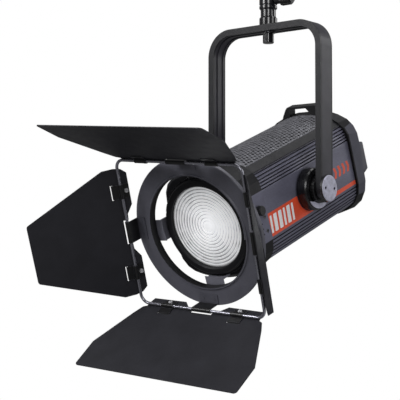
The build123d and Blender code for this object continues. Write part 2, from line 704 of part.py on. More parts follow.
def leaf_screws():
    """The screw and nut of each clip."""
    out = []
    for u in (-CLIP_U, CLIP_U):
        top = LEAF_OFFSET - 1.2
        cap = cyl_z(3.0, top - 2.2, top, x=u, y=CLIP_SCREW_D)
        cap -= block(u - 0.4, u + 0.4, CLIP_SCREW_D - 3, CLIP_SCREW_D + 3, top - 3, top - 1.4)
        shank = cyl_z(1.5, top, LEAF_OFFSET + LEAF_SHEET + 2.4, x=u, y=CLIP_SCREW_D)
        nut_z = LEAF_OFFSET + LEAF_SHEET
        nut = Pos(u, CLIP_SCREW_D, nut_z) * extrude(RegularPolygon(3.2, 6), 2.2)
        out.append(cap + shank + nut)
    return out


def on_leaf(shape, side):
    """Moves a leaf shape from its hinge frame to its flared place on the rod."""
    turns = {"top": 0, "right": 90, "bottom": 180, "left": 270}
    flared = Rot(-FLARE[side], 0, 0) * Rot(0, 0, 180) * shape
    return door(around_y(Pos(0, ROD_Y, ROD_HALF) * flared, turns[side]))


# ---------------------------------------------------------------- focusing carriage


def guide_rails():
    return [cyl_y(RAIL_R, NOSE_Y + 5, 116, x=x, z=RAIL_Z) for x in (-RAIL_X, RAIL_X)]


def rear_bulkhead():
    """Plate across the rear of the head that holds the rails and the focus screw."""
    plate = prism_y(head_outline(-6.5), 112, 116)
    for x in (-RAIL_X, RAIL_X):
        plate -= cyl_y(RAIL_R, 110, 118, x=x, z=RAIL_Z)
    plate -= cyl_y(SCREW_R + RUNNING, 110, 118, z=SCREW_Z)
    for i in range(-3, 4):
        plate -= block(i * 15 - 4.5, i * 15 + 4.5, 110, 118, 54, 68)
    return plate


def carriage_plate():
    """Plate that slides on the rails and carries the lamp module, with bushes and a screw nut."""
    y0, y1 = CARRIAGE_Y, CARRIAGE_Y + CARRIAGE_THICKNESS
    plate = block(-61, 61, y0, y1, -64, 44)
    plate = fillet(plate.edges().filter_by(Axis.Y), 6.0)
    for x in (-RAIL_X, RAIL_X):
        plate += cyl_y(7.5, y0 - 3, y1 + 12, x=x, z=RAIL_Z)
    plate += cyl_y(7.0, y0, y1 + 12, z=SCREW_Z)
    for x in (-RAIL_X, RAIL_X):
        plate -= cyl_y(RAIL_R + RUNNING, y0 - 5, y1 + 14, x=x, z=RAIL_Z)
    return plate - cyl_y(SCREW_R + RUNNING, y0 - 2, y1 + 14, z=SCREW_Z)


def led_array():
    """Square board with the round light-emitting dome at its middle."""
    y = CARRIAGE_Y
    board = block(-17, 17, y - 2, y, -17, 17)
    return board + cyl_y(11.0, y - 3.2, y - 2)


def led_clamp():
    """White frame that clamps the board to the carriage plate."""
    y = CARRIAGE_Y
    frame = cyl_y(28.0, y - 6, y) - cyl_y(14.0, y - 7, y - 4) - block(-17.2, 17.2, y - 4, y + 1, -17.2, 17.2)
    return frame


def heat_sink():
    """Base block with tall upright fins behind the carriage plate."""
    y0 = CARRIAGE_Y + CARRIAGE_THICKNESS
    sink = block(-42, 42, y0, y0 + 7, -38, 42)
    fins = 15
    pitch = 81.6 / (fins - 1)
    for i in range(fins):
        x = -40.8 + pitch * i
        sink += block(x - 0.8, x + 0.8, y0 + 6, y0 + SINK_DEPTH, -38, 42)
    return sink


FAN_Z = 2.0


def fan_frame():
    y0 = CARRIAGE_Y + CARRIAGE_THICKNESS + SINK_DEPTH
    half = FAN_SIZE / 2
    frame = block(-half, half, y0, y0 + FAN_DEPTH, FAN_Z - half, FAN_Z + half)
    frame = fillet(frame.edges().filter_by(Axis.Y), 5.0)
    frame -= cyl_y(half - 2, y0 - 1, y0 + FAN_DEPTH - 4, z=FAN_Z)
    frame -= cyl_y(half - 2, y0 + 5, y0 + FAN_DEPTH + 1, z=FAN_Z) - cyl_y(14, y0, y0 + FAN_DEPTH, z=FAN_Z)
    spokes = [
        Pos(0, 0, FAN_Z) * around_y(block(12, half - 1, y0 + FAN_DEPTH - 4, y0 + FAN_DEPTH - 1, -1.5, 1.5), a)
        for a in (45, 135, 225, 315)
    ]
    hub = cyl_y(14, y0 + FAN_DEPTH - 4, y0 + FAN_DEPTH, z=FAN_Z)
    pin = cyl_y(2.0, y0 + 6, y0 + FAN_DEPTH - 3, z=FAN_Z)
    ring = frame - cyl_y(14.5, y0 - 1, y0 + FAN_DEPTH - 4, z=FAN_Z)
    return ring + hub + spokes + pin


def fan_rotor():
    """Seven-bladed impeller on the fan's centre pin."""
    y0 = CARRIAGE_Y + CARRIAGE_THICKNESS + SINK_DEPTH
    hub = cyl_y(14, y0 + 2, y0 + FAN_DEPTH - 5)
    blade = Rot(28, 0, 0) * block(12, FAN_SIZE / 2 - 4, -0.7, 0.7, -9, 9)
    blades = [around_y(Pos(0, y0 + 9.5, 0) * blade, 360 * i / 7) for i in range(7)]
    keep = cyl_y(FAN_SIZE / 2 - 3.5, y0 + 1.5, y0 + FAN_DEPTH - 5)
    rotor = (hub + blades) & keep
    return Pos(0, 0, FAN_Z) * (rotor - cyl_y(2.0 + RUNNING, y0 + 5, y0 + FAN_DEPTH))


def focus_screw():
    """Long screw from the rear knob to the nut on the carriage."""
    rod = cyl_y(SCREW_R, -134, REAR_END_Y + 18, z=SCREW_Z)
    collar = cyl_y(7.0, REAR_END_Y + GAP, REAR_END_Y + 3, z=SCREW_Z)
    return rod + collar


def focus_knob():
    y0 = REAR_END_Y + 4
    grip = Pos(0, y0, SCREW_Z) * Rot(-90, 0, 0) * knurled(15.0, 18, 18, 1.5)
    return grip - cyl_y(SCREW_R, y0 - 1, REAR_END_Y + 18, z=SCREW_Z)


def power_module():
    """Vented case of the lamp's power supply, behind the fan's travel."""
    case = block(-52, 52, 26, 104, -38, 46)
    inner = block(-50, 50, 28, 102, -36, 44)
    case -= inner
    for i in range(6):
        x = -40 + 16 * i
        case -= block(x - 4, x + 4, 20, 110, 8, 40)
    board = block(-48, 48, 30, 100, -30, -28.4)
    supports = [cyl_z(2.5, -36.2, -30, x=x, y=y) for x in (-42, 42) for y in (36, 94)]
    return case + board + supports


def power_parts():
    """Transformer, capacitors and coil on the power supply's board."""
    out = [block(-20, 14, 50, 82, -28.2, 2)]
    out += [cyl_z(8.5, -28.2, 2, x=34, y=y) for y in (46, 66, 86)]
    out += [block(-44, -28, 40, 90, -28.2, -6)]
    return out


def module_posts():
    """Four posts that stand the power supply off the bottom cover's side rails."""
    return [cyl_z(3.0, -73, -38, x=x, y=y) for x in (-42.0, 42.0) for y in (34.0, 96.0)]


# ---------------------------------------------------------------- rear controls


def dimmer_knob():
    x, z = DIMMER_XZ
    grip = Pos(x, BOX_END_Y + 1.2, z) * Rot(-90, 0, 0) * knurled(13.0, 13, 24, 0.9)
    shaft = cyl_y(3.0, BOX_END_Y - 6, BOX_END_Y + 2, x=x, z=z)
    return grip + shaft


def power_rocker():
    """Rocker whose face is two shallow slopes about its pivot, at rest on its off side."""
    x, z = ROCKER_XZ
    y = BOX_END_Y
    face = polygon([(-9.8, -3.0), (9.8, -3.0), (9.8, 2.6), (0, 1.0), (-9.8, 2.6)])
    rocker = Pos(x, y, z - 6.2) * Rot(0, 0, -ROCKER_THROW / 2) * extrude(face, 12.4)
    pins = [cyl_z(1.5, z + side * 6.2, z + side * 6.7, x=x, y=y) for side in (-1, 1)]
    return rocker + pins


def menu_button(x):
    cap = cyl_y(4.0, BOX_END_Y - 4, BOX_END_Y + 2.2, x=x, z=BUTTON_Z)
    return chamfer(cap.edges().filter_by(GeomType.CIRCLE).group_by(Axis.Y)[-1], 0.6)


# ---------------------------------------------------------------- assembly


def add(name, shape):
    solids = shape if isinstance(shape, list) else [shape]
    parts[name] = Compound(children=[s for piece in solids for s in piece.solids()])


def build_hanger_and_yoke():
    add("hanging_spigot", hanging_spigot())
    add("spigot_nut", spigot_nut())
    add("spigot_washer", spigot_washer())
    add("spigot_lock_knob", spigot_lock_knob())
    add("spigot_clamp_shoe", spigot_clamp_shoe())
    add("yoke", yoke())
    add("pivot_cap", pivot_cap())
    add("tilt_lock_knob", tilt_lock_knob())


def build_head():
    singles = {
        "top_grille": arc_cover(HEAD_TOP_Z, 74.0, 1.5),
        "bottom_grille": arc_cover(HEAD_BOTTOM_Z, -74.0, 1.5),
        "front_casting": front_casting(),
        "rear_casting": rear_casting(),
        "carry_handle": carry_handle(),
        "control_box": control_box(),
        "display_window": display_window(),
        "control_board": control_board(),
        "power_inlet": power_inlet(),
        "fresnel_lens": fresnel_lens(),
        "lens_gasket": lens_gasket(),
        "lens_bezel": lens_bezel(),
        "latch_lugs": latch_lugs(),
        "ring_latch": ring_latch(),
        "rear_bulkhead": rear_bulkhead(),
        "carriage_plate": carriage_plate(),
        "led_array": led_array(),
        "led_clamp": led_clamp(),
        "heat_sink": heat_sink(),
        "fan_frame": fan_frame(),
        "fan_rotor": fan_rotor(),
        "focus_screw": focus_screw(),
        "focus_knob": focus_knob(),
        "dimmer_knob": dimmer_knob(),
        "power_rocker": power_rocker(),
        "thumb_screw": thumb_screw(),
    }
    for name, shape in singles.items():
        add(name, head(shape))
    groups = {
        "casting_screws": front_screws() + rear_screws(),
        "data_sockets": data_sockets(),
        "pivot_shafts": pivot_shafts(),
        "guide_rails": guide_rails(),
        "power_parts": power_parts(),
        "power_module": [power_module()] + module_posts(),
        "ring_ears": [around_y(ear(), turn) for turn in (0, 90, 180)],
    }
    for name, shapes in groups.items():
        add(name, [head(s) for s in shapes])
    hubs = {"hub_dishes": hub_dish(), "hub_washers": hub_washer(), "hub_drums": hub_drum()}
    for name, shape in hubs.items():
        add(name, [head(shape), head(mirror_x(shape))])
    panel = side_extrusion()
    add("side_panel_right", head(panel))
    add("side_panel_left", head(mirror_x(panel)))
    for i, x in enumerate(BUTTON_X, 1):
        add(f"menu_button_{i}", head(menu_button(x)))


def build_barn_doors():
    add("barndoor_ring", door(barndoor_ring()))
    add("door_rods", door(door_rods()))
    add("door_brackets", [door(around_y(door_bracket(), a)) for a in QUARTERS])
    add("door_rivets", [door(s) for s in door_rivets()])
    for side in FLARE:
        kind = "wide" if side in ("top", "bottom") else "narrow"
        add("leaf_" + side, on_leaf(leaf(kind), side))
        add("leaf_clips_" + side, [on_leaf(s, side) for s in leaf_clips() + leaf_screws()])


def main():
    build_hanger_and_yoke()
    build_head()
    build_barn_doors()
    os.makedirs("parts", exist_ok=True)
    for name, shape in parts.items():
        export_step(shape, f"parts/{name}.step")
    print(len(parts), "nodes")


main()
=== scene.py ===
"""Looks of the hanging fresnel spotlight: materials, covers, lens, graphics, camera and light."""
import json
from math import atan2, cos, pi, radians, sin, sqrt

import bpy
from mathutils import Matrix, Vector

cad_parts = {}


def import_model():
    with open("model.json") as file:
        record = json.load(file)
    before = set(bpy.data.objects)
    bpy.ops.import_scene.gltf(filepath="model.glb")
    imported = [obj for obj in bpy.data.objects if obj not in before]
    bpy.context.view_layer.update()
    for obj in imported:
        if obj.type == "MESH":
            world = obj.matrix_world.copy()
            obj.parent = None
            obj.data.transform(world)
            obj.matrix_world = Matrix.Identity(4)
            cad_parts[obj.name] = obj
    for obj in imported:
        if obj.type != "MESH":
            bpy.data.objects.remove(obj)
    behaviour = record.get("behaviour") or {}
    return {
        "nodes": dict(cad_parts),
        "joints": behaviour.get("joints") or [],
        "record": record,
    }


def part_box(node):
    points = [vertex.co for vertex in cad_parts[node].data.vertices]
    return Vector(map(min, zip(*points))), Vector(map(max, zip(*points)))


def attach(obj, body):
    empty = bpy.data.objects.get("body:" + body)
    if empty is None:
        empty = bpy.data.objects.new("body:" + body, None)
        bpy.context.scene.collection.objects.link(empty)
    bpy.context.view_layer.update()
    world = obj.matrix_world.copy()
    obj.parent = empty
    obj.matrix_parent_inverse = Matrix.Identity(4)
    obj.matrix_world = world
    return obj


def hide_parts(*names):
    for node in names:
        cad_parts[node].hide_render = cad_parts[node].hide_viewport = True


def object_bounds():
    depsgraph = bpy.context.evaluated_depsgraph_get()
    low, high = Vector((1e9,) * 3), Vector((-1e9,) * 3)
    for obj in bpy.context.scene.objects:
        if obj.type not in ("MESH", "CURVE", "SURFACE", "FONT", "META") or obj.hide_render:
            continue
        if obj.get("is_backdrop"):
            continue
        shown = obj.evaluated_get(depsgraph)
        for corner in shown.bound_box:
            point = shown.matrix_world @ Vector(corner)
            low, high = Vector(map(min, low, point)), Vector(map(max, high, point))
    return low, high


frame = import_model()
cad_low, cad_high = (Vector(v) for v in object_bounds())
record = frame["record"]
nodes = frame["nodes"]
joints = {j["name"]: j for j in frame["joints"]}

MM = 0.001

# ---------------------------------------------------------------- the head's own frame
# Its origin is on the tilt axis, X along it, -Y the optical axis, Z across both.

tilt_pos = Vector(joints["tilt"]["pos_m"])
head_x = Vector((1, 0, 0))
head_y = Vector(joints["barndoor_turn"]["axis"]).normalized()
head_z = head_x.cross(head_y)
HEAD = Matrix((head_x, head_y, head_z)).transposed().to_4x4()
HEAD.translation = tilt_pos
INTO_HEAD = HEAD.inverted()


def head_box(node):
    """A node's lowest and highest corners in the head's frame."""
    points = [INTO_HEAD @ v.co for v in nodes[node].data.vertices]
    return [Vector([pick(p[i] for p in points) for i in range(3)]) for pick in (min, max)]


# ---------------------------------------------------------------- node materials


class Tree:
    """A small helper for building a material's node tree."""

    def __init__(self, name):
        self.material = bpy.data.materials.new(name)
        self.material.use_nodes = True
        self.nodes = self.material.node_tree.nodes
        self.links = self.material.node_tree.links
        self.shader = self.nodes["Principled BSDF"]
        self.position = self.add("ShaderNodeTexCoord").outputs["Object"]

    def add(self, kind, **settings):
        node = self.nodes.new(kind)
        for key, value in settings.items():
            setattr(node, key, value)
        return node

    def put(self, value, socket):
        """Links a socket to a socket, or sets the socket to a plain value."""
        if isinstance(value, bpy.types.NodeSocket):
            self.links.new(value, socket)
        else:
            socket.default_value = value

    def noise(self, scale, detail=3.0, rough=0.55, stretch=None):
        where = self.position
        if stretch:
            mapping = self.add("ShaderNodeMapping")
            self.put(where, mapping.inputs["Vector"])
            mapping.inputs["Scale"].default_value = stretch
            where = mapping.outputs["Vector"]
        node = self.add("ShaderNodeTexNoise")
        self.put(where, node.inputs["Vector"])
        node.inputs["Scale"].default_value = scale
        node.inputs["Detail"].default_value = detail
        node.inputs["Roughness"].default_value = rough
        return node.outputs["Fac"]

    def math(self, operation, a, b=0.0):
        node = self.add("ShaderNodeMath", operation=operation)
        self.put(a, node.inputs[0])
        self.put(b, node.inputs[1])
        return node.outputs[0]

    def vector(self, operation, a, b=(0, 0, 0)):
        node = self.add("ShaderNodeVectorMath", operation=operation)
        self.put(a, node.inputs[0])
        self.put(b, node.inputs[1])
        return node.outputs["Value" if operation in ("DOT_PRODUCT", "LENGTH") else "Vector"]

    def split(self, axis):
        """The position along one world axis, at rest."""
        node = self.add("ShaderNodeSeparateXYZ")
        self.put(self.position, node.inputs[0])
        return node.outputs[axis]

    def remap(self, value, a, b, c, d):
        """Maps a..b to c..d, clamped."""
        node = self.add("ShaderNodeMapRange")
        self.put(value, node.inputs["Value"])
        for key, number in (("From Min", a), ("From Max", b), ("To Min", c), ("To Max", d)):
            node.inputs[key].default_value = number
        return node.outputs["Result"]

    def vary(self, noise, low, high):
        """Maps a noise, whose values crowd round 0.5, to low..high."""
        return self.remap(noise, 0.3, 0.7, low, high)

    def mix(self, factor, a, b):
        node = self.add("ShaderNodeMix", data_type="RGBA")
        self.put(factor, node.inputs["Factor"])
        self.put(a, node.inputs[6])
        self.put(b, node.inputs[7])
        return node.outputs[2]

    def edge(self, radius):
        """1 on outer edges and 0 on flats, by comparing the rounded normal with the true one."""
        bevel = self.add("ShaderNodeBevel", samples=6)
        bevel.inputs["Radius"].default_value = radius
        true_normal = self.add("ShaderNodeNewGeometry").outputs["Normal"]
        agree = self.vector("DOT_PRODUCT", bevel.outputs["Normal"], true_normal)
        return self.remap(agree, 0.995, 0.80, 0.0, 1.0)

    def gap_shade_and_dirt(self, distance):
        """Painted shade, with some dirt: 0 in the open and 1 deep in gaps and grooves."""
        node = self.add("ShaderNodeAmbientOcclusion", samples=8, inside=False)
        node.inputs["Distance"].default_value = distance
        return self.remap(node.outputs["AO"], 0.15, 0.85, 1.0, 0.0)

    def distance(self, point, axis):
        """Distance from the line through point along axis."""
        across = self.vector("SUBTRACT", self.position, tuple(point))
        return self.vector("LENGTH", self.vector("CROSS_PRODUCT", across, tuple(axis)))

    def bump(self, layers):
        """Chains (height, distance in metres) layers into the shader's normal."""
        normal = None
        for height, distance in layers:
            node = self.add("ShaderNodeBump")
            node.inputs["Distance"].default_value = distance
            self.put(height, node.inputs["Height"])
            if normal is not None:
                self.put(normal, node.inputs["Normal"])
            normal = node.outputs["Normal"]
        self.put(normal, self.shader.inputs["Normal"])


def rgba(color):
    return (*color, 1.0)


def shade(color, factor):
    return rgba([min(1.0, c * factor) for c in color])


def surface(name, color, rough, metal=0.0, spread=0.18, blotch=22.0, grain=900.0, depth=0.00004,
            edge_color=None, edge_amount=0.5, edge_radius=0.0006, gap=0.004, gap_shade_and_dirt_amount=0.7,
            coat=0.0, specular=0.5, stretch=None, zones=()):
    """A worked finish: tone drift, fine grain, edges in their own colour (wear, and where lighter a painted
    highlight), painted shade with some dirt in gaps, and uneven gloss.

    zones is a list of (mask function, colour) laid over the base colour.
    """
    t = Tree(name)
    drift = t.noise(blotch, 4.0, 0.6, stretch)
    fine = t.noise(grain, 2.0, 0.5, stretch)
    blend = t.vary(drift, 0.0, 1.0)

    def drifting(base):
        return t.mix(blend, shade(base, 1 - spread), shade(base, 1 + spread))

    tone = drifting(color)
    for mask, zone_color in zones:
        tone = t.mix(mask(t), tone, drifting(zone_color))
    speck = t.remap(fine, 0.35, 0.65, 0.92, 1.08)
    scaled = t.add("ShaderNodeVectorMath", operation="SCALE")
    t.put(tone, scaled.inputs[0])
    t.put(speck, scaled.inputs["Scale"])
    tone = scaled.outputs["Vector"]
    # edges take edge_color: partly wear, and where it is lighter than the paint, a painted highlight on lit
    # edges
    if edge_color:
        chips = t.remap(t.noise(240.0, 3.0), 0.35, 0.6, 0.35, 1.0)
        wear_and_glint = t.math("MULTIPLY", t.edge(edge_radius), chips)
        tone = t.mix(t.math("MULTIPLY", wear_and_glint, edge_amount), tone, rgba(edge_color))
    # painted shade: the colour is darkened in gaps and grooves, where shade falls and some dirt gathers
    if gap_shade_and_dirt_amount:
        painted_shade = t.math("MULTIPLY", t.gap_shade_and_dirt(gap), gap_shade_and_dirt_amount)
        tone = t.mix(painted_shade, tone, shade(color, 0.12))
    t.put(tone, t.shader.inputs["Base Color"])
    smear = t.noise(60.0, 5.0, 0.65)
    gloss = t.vary(smear, max(0.03, rough - 0.04), min(1.0, rough + 0.06))
    t.put(gloss, t.shader.inputs["Roughness"])
    t.shader.inputs["Metallic"].default_value = metal
    t.shader.inputs["Coat Weight"].default_value = coat
    t.shader.inputs["Coat Roughness"].default_value = 0.12
    t.shader.inputs["Specular IOR Level"].default_value = specular
    t.bump([(fine, depth), (drift, depth)])
    return t.material


# ---------------------------------------------------------------- masks, where a part's paint changes

PANEL_TOP = 62.8 * MM           # height in the head where a side panel turns black
NOSE_SIDE = 76.8 * MM           # half width past which the nose is slate
REAR_SIDE = 74.5 * MM           # half width past which the rear casting is slate
REAR_SHADOW_GAP = 2.4 * MM             # painted shadow: near-black strip where the rear casting meets the panels
FOOT_RISE = 0.6 * MM            # a bracket is ring-coloured down to this far before the ring's face
RING_BORE = 88.2 * MM           # the ring is black inside this radius
STRAP_SHEEN_HALF = 14.5 * MM          # half width of the painted sheen down the yoke's strap
STRAP_SHEEN_FADE = 4.0 * MM
CAP_FACE = 1.4 * MM             # depth of the pivot cap's light face
SCREW_HEAD = 3.4 * MM           # radius of a clip screw's head
SCREW_REACH = 5.0 * MM          # no corner of a clip screw is farther than this from its axis


def beyond_x(limit):
    """Mask of faces farther than limit from the middle plane."""
    def mask(t):
        return t.math("GREATER_THAN", t.math("ABSOLUTE", t.split("X")), limit)
    return mask


def within_axis(radius):
    """Mask of points nearer than radius to the optical axis."""
    def mask(t):
        return t.math("LESS_THAN", t.distance(tilt_pos, head_y), radius)
    return mask


def before(point, direction):
    """Mask of points that lie on the near side of a plane through point."""
    def mask(t):
        away = t.vector("SUBTRACT", t.position, tuple(point))
        return t.math("LESS_THAN", t.vector("DOT_PRODUCT", away, tuple(direction)), 0.0)
    return mask


def strap_sheen(t):
    """Mask of a painted sheen down the middle of the yoke's strap, fading out towards its edges."""
    return t.remap(t.math("ABSOLUTE", t.split("Y")), STRAP_SHEEN_HALF, STRAP_SHEEN_HALF - STRAP_SHEEN_FADE, 0.0, 1.0)


def cap_side(t):
    """Mask of the pivot cap's rim, which is black round its light face."""
    along = t.split("X")
    past_yoke = t.math("GREATER_THAN", along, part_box("yoke")[1].x + 0.2 * MM)
    behind_face = t.math("LESS_THAN", along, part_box("pivot_cap")[1].x - CAP_FACE)
    return t.math("MULTIPLY", past_yoke, behind_face)


def loose_parts(node):
    """The separate solids of a node, each as a list of points."""
    mesh = nodes[node].data
    parent = {}

    def root(key):
        while parent[key] != key:
            parent[key] = parent[parent[key]]
            key = parent[key]
        return key

    keys = [tuple(round(c * 1e6) for c in v.co) for v in mesh.vertices]
    for key in keys:
        parent.setdefault(key, key)
    for polygon in mesh.polygons:
        first = root(keys[polygon.vertices[0]])
        for index in polygon.vertices[1:]:
            parent[root(keys[index])] = first
    parts = {}
    for key, vertex in zip(keys, mesh.vertices):
        parts.setdefault(root(key), []).append(vertex.co.copy())
    return list(parts.values())


def screw_heads(side):
    """Mask of a leaf's two clip screws, whose heads are bright and whose clips are black."""
    sheet = nodes["leaf_" + side].data
    normal = max(sheet.polygons, key=lambda polygon: polygon.area).normal.copy()
    spots = []
    for points in loose_parts("leaf_clips_" + side):
        middle = sum(points, Vector()) / len(points)
        offsets = [v - middle for v in points]
        if max((v - normal * v.dot(normal)).length for v in offsets) < SCREW_REACH:
            spots.append(middle)

    def mask(t):
        total = None
        for spot in spots:
            near = t.math("LESS_THAN", t.distance(spot, normal), SCREW_HEAD)
            total = near if total is None else t.math("MAXIMUM", total, near)
        return total
    return mask


panel_top = before(tilt_pos + head_z * PANEL_TOP, -head_z)
ring_face = head_box("barndoor_ring")[0].y
foot_on_ring = before(HEAD @ Vector((0, ring_face - FOOT_RISE, 0)), -head_y)
casting_front = head_box("rear_casting")[0].y
# painted shadow in the gap where the rear casting meets the panels
rear_shadow_step = before(HEAD @ Vector((0, casting_front + REAR_SHADOW_GAP, 0)), head_y)

# ---------------------------------------------------------------- finishes

SLATE = (0.135, 0.135, 0.185)
# painted highlight colour for the lit edges of the panels, the ring and its ears
LILAC_HIGHLIGHT = (0.40, 0.40, 0.50)
CASTING_BLACK = (0.010, 0.010, 0.012)
CLIP_BLACK = (0.007, 0.007, 0.008)

LOOKS = {
    "spigot_black": dict(color=(0.010, 0.010, 0.012), rough=0.16, coat=0.5, depth=0.00001,
                         edge_color=(0.10, 0.10, 0.12), edge_amount=0.5),
    "yoke_paint": dict(color=(0.014, 0.014, 0.017), rough=0.42, specular=0.3,
                       edge_color=(0.12, 0.12, 0.14), edge_amount=0.3,
                       # painted sheen: the middle of the strap is painted lighter than its edges
                       zones=[(strap_sheen, (0.048, 0.047, 0.058))]),
    # painted highlight along the fins' edges, and painted shade deep in their grooves
    "panel_paint": dict(color=SLATE, rough=0.42, metal=0.25, specular=0.35, stretch=(1.0, 0.15, 1.0),
                        edge_color=LILAC_HIGHLIGHT, edge_amount=0.8, edge_radius=0.0009,
                        gap=0.006, gap_shade_and_dirt_amount=0.95, zones=[(panel_top, (0.016, 0.016, 0.019))]),
    "casting_paint": dict(color=CASTING_BLACK, rough=0.48, grain=1400.0, depth=0.00008,
                          specular=0.22, edge_color=(0.13, 0.13, 0.16), edge_amount=0.6),
    # painted sheen: the cover's web is painted mid grey, lighter than its black paint, for the glints on
    # its glossy webs
    "grille_paint": dict(color=(0.17, 0.17, 0.19), rough=0.36, metal=0.2, spread=0.5, blotch=160.0,
                         gap_shade_and_dirt_amount=0.0),
    # painted highlight along the ring's edges, such as its inner lip
    "ring_paint": dict(color=(0.105, 0.105, 0.130), rough=0.46, grain=1300.0, depth=0.00006,
                       edge_color=LILAC_HIGHLIGHT, edge_amount=0.5, edge_radius=0.0008,
                       zones=[(within_axis(RING_BORE), (0.006, 0.006, 0.007))]),
    "leaf_paint": dict(color=(0.021, 0.021, 0.027), rough=0.52, grain=1500.0, depth=0.00004,
                       specular=0.35, edge_color=(0.004, 0.004, 0.005), edge_amount=0.9,
                       edge_radius=0.0008),
    "rod_steel": dict(color=(0.34, 0.34, 0.39), rough=0.26, metal=0.85, depth=0.00002, gap_shade_and_dirt_amount=0.4),
    "clip_black": dict(color=CLIP_BLACK, rough=0.34, depth=0.00002,
                       edge_color=(0.22, 0.22, 0.27), edge_amount=0.5),
    "cap_grey": dict(color=(0.44, 0.44, 0.55), rough=0.44, spread=0.22, blotch=120.0, grain=700.0,
                     edge_color=(0.62, 0.62, 0.72), edge_amount=0.6, gap=0.002,
                     zones=[(cap_side, (0.012, 0.012, 0.014))]),
    "hub_black": dict(color=(0.006, 0.006, 0.007), rough=0.24, depth=0.00003,
                      edge_color=(0.08, 0.08, 0.09), edge_amount=0.6),
    "knob_black": dict(color=(0.011, 0.011, 0.012), rough=0.45, depth=0.00006,
                       edge_color=(0.07, 0.07, 0.08), edge_amount=0.6),
    "console_plastic": dict(color=(0.060, 0.060, 0.078), rough=0.50, grain=1200.0, depth=0.0001,
                            edge_color=(0.13, 0.13, 0.16), edge_amount=0.5),
    "socket_black": dict(color=(0.010, 0.010, 0.011), rough=0.48, edge_color=(0.06, 0.06, 0.07)),
    "gasket": dict(color=(0.014, 0.014, 0.014), rough=0.75),
    "bare_steel": dict(color=(0.55, 0.55, 0.57), rough=0.26, metal=1.0, spread=0.08,
                       edge_color=(0.8, 0.8, 0.82), gap_shade_and_dirt_amount=0.5),
    "dark_steel": dict(color=(0.16, 0.16, 0.17), rough=0.32, metal=0.9, edge_color=(0.5, 0.5, 0.53)),
    "brass": dict(color=(0.62, 0.44, 0.18), rough=0.28, metal=1.0, edge_color=(0.85, 0.68, 0.38)),
    "aluminium": dict(color=(0.62, 0.63, 0.65), rough=0.36, metal=0.95, spread=0.08,
                      edge_color=(0.85, 0.86, 0.88), stretch=(1.0, 0.2, 1.0)),
    "led_ceramic": dict(color=(0.90, 0.72, 0.20), rough=0.35, edge_color=(0.95, 0.88, 0.55)),
    "white_plastic": dict(color=(0.78, 0.78, 0.76), rough=0.48, spread=0.05,
                          edge_color=(0.9, 0.9, 0.9)),
    "fan_plastic": dict(color=(0.016, 0.016, 0.017), rough=0.40, edge_color=(0.06, 0.06, 0.07)),
    "board_green": dict(color=(0.015, 0.11, 0.045), rough=0.42, edge_color=(0.10, 0.25, 0.12)),
    "component_dark": dict(color=(0.03, 0.03, 0.034), rough=0.42, edge_color=(0.12, 0.12, 0.13)),
    "display": dict(color=(0.006, 0.010, 0.018), rough=0.10, coat=0.6, depth=0.000005,
                    edge_color=(0.04, 0.05, 0.07)),
    "rocker_red": dict(color=(0.42, 0.018, 0.012), rough=0.30, edge_color=(0.62, 0.12, 0.10)),
    "button_grey": dict(color=(0.12, 0.12, 0.14), rough=0.60, edge_color=(0.22, 0.22, 0.25)),
}

# nodes whose paint differs from the rest of their slot
OWN_LOOKS = {
    "front_casting": dict(color=CASTING_BLACK, rough=0.48, grain=1400.0, depth=0.00008, specular=0.22,
                          edge_color=(0.16, 0.16, 0.20), edge_amount=0.6,
                          zones=[(beyond_x(NOSE_SIDE), SLATE)]),
    "rear_casting": dict(color=CASTING_BLACK, rough=0.48, grain=1400.0, depth=0.00008, specular=0.22,
                         edge_color=(0.13, 0.13, 0.16), edge_amount=0.6,
                         zones=[(beyond_x(REAR_SIDE), (0.078, 0.078, 0.100)),
                                # painted shadow at the casting's front
                                (rear_shadow_step, (0.006, 0.006, 0.007))]),
    "door_brackets": dict(color=CLIP_BLACK, rough=0.34, edge_color=(0.16, 0.16, 0.2),
                          zones=[(foot_on_ring, (0.090, 0.090, 0.112))]),
    "door_rivets": dict(color=(0.085, 0.085, 0.105), rough=0.42, edge_color=(0.2, 0.2, 0.24)),
    "ring_ears": dict(color=(0.170, 0.170, 0.205), rough=0.42, edge_color=LILAC_HIGHLIGHT, edge_amount=0.5),
}
for side in ("top", "bottom", "left", "right"):
    OWN_LOOKS["leaf_clips_" + side] = dict(
        color=CLIP_BLACK, rough=0.32, depth=0.00002, edge_color=(0.30, 0.30, 0.37), edge_amount=0.6,
        zones=[(screw_heads(side), (0.60, 0.60, 0.62))])

finish = {name: surface(name, **look) for name, look in LOOKS.items()}
own_finish = {node: surface(node + "_paint", **look) for node, look in OWN_LOOKS.items()}

ORANGE = surface("graphic_orange", (0.72, 0.075, 0.025), 0.42, spread=0.12, depth=0.00002,
                 gap_shade_and_dirt_amount=0.0)
WHITE = surface("graphic_white", (0.86, 0.86, 0.87), 0.45, spread=0.04, depth=0.00002,
                gap_shade_and_dirt_amount=0.0)

node_slot = {s["node"]: s["material_slot"] for s in record["subparts"]}
for name, ob in nodes.items():
    material = own_finish.get(name) or finish.get(node_slot.get(name, ""))
    if material is None:
        continue
    if not ob.material_slots:
        ob.data.materials.append(material)
    for entry in ob.material_slots:
        entry.material = material

# ---------------------------------------------------------------- mesh pieces


def piece(name, verts, faces, material):
    """A mesh given in the head's frame, which rides with the head."""
    mesh = bpy.data.meshes.new(name)
    mesh.from_pydata([HEAD @ Vector(v) for v in verts], [], faces)
    mesh.validate()
    mesh.update()
    ob = bpy.data.objects.new(name, mesh)
    bpy.context.scene.collection.objects.link(ob)
    mesh.materials.append(material)
    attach(ob, "head")
    return ob


